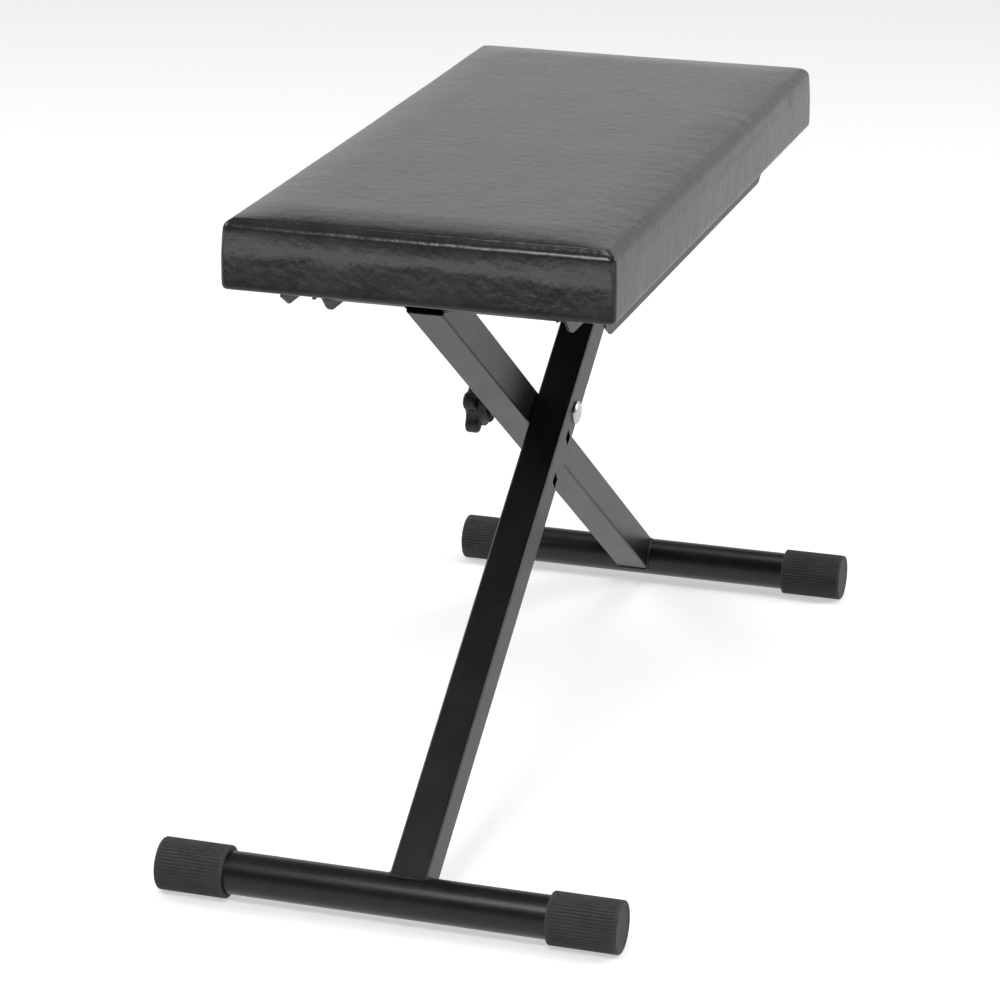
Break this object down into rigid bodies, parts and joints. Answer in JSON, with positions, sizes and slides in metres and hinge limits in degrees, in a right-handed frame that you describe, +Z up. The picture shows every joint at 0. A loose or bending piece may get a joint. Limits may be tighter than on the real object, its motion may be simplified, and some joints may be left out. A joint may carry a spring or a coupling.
{
  "type": "folding keyboard bench",
  "caption": "Padded rectangular bench seat on crossed square-tube legs with round foot bars, folding flat about a bolted scissor joint with a star knob",
  "frame": {"origin": "on the floor, under the middle of the bench", "axes": "+Z up, +X along the seat towards the right end, +Y across the seat towards the back, where the knob is"},
  "size_m": [0.7598, 0.3466, 0.491],
  "materials": {
    "vinyl": "satin black leathercloth",
    "foam": "open-cell seat foam",
    "plywood": "black-stained plywood",
    "staple_wire": "bright wire",
    "black_powder_coat": "fine-textured satin black powder coat",
    "black_zinc": "black zinc",
    "plain_steel": "plain steel",
    "bright_zinc": "bright zinc plate",
    "nylon": "black nylon",
    "rubber": "matte moulded rubber",
    "knob_plastic": "black moulded plastic",
    "brass": "turned brass"
  },
  "bodies": {
    "seat": {"seat_cover": "vinyl", "foam_pad": "foam", "seat_board": "plywood", "cover_staples": "staple_wire", "front_rail": "black_powder_coat", "back_rail": "black_powder_coat", "rail_screws": "black_zinc"},
    "back_leg": {"back_leg_tube": "black_powder_coat", "back_leg_crossbar": "black_powder_coat", "back_leg_crossbar_plugs": "plain_steel", "back_leg_pivot_washers": "nylon", "back_leg_pivot_bolts": "black_zinc", "back_leg_welds": "black_powder_coat", "right_foot_bar": "black_powder_coat", "right_back_foot_cap": "rubber", "right_front_foot_cap": "rubber"},
    "front_leg": {"front_leg_tube": "black_powder_coat", "front_leg_crossbar": "black_powder_coat", "front_leg_crossbar_plugs": "plain_steel", "front_leg_pivot_washers": "nylon", "front_leg_pivot_bolts": "black_zinc", "front_leg_welds": "black_powder_coat", "left_foot_bar": "black_powder_coat", "left_back_foot_cap": "rubber", "left_front_foot_cap": "rubber", "carriage_bolt": "bright_zinc", "leg_spacer_washer": "nylon"},
    "knob_washer": {"knob_washer": "black_zinc"},
    "knob": {"knob_insert": "brass", "knob_grip": "knob_plastic"}
  },
  "joints": [
    {"name": "back_leg_fold", "type": "hinge", "parent": "seat", "child": "back_leg", "pos_m": [-0.225, 0, 0.42331], "axis": [0, -1, 0], "range_deg": [0, 30]},
    {"name": "scissor_pivot", "type": "hinge", "parent": "back_leg", "child": "front_leg", "pos_m": [0.00774, 0, 0.26787], "axis": [0, 1, 0], "range_deg": [0, 62.2]},
    {"name": "knob_travel", "type": "slide", "parent": "front_leg", "child": "knob_washer", "axis": [0, 1, 0], "range_m": [0, 0.0151]},
    {"name": "knob_turn", "type": "hinge", "parent": "knob_washer", "child": "knob", "pos_m": [0.00774, 0.04, 0.26787], "axis": [0, 1, 0], "range_deg": [0, 4320]}
  ],
  "couplings": [
    {"joint": "scissor_pivot", "follows": "back_leg_fold", "ratio": 2.07},
    {"joint": "knob_travel", "follows": "knob_turn", "m_per_rad": 0.00019894}
  ]
}
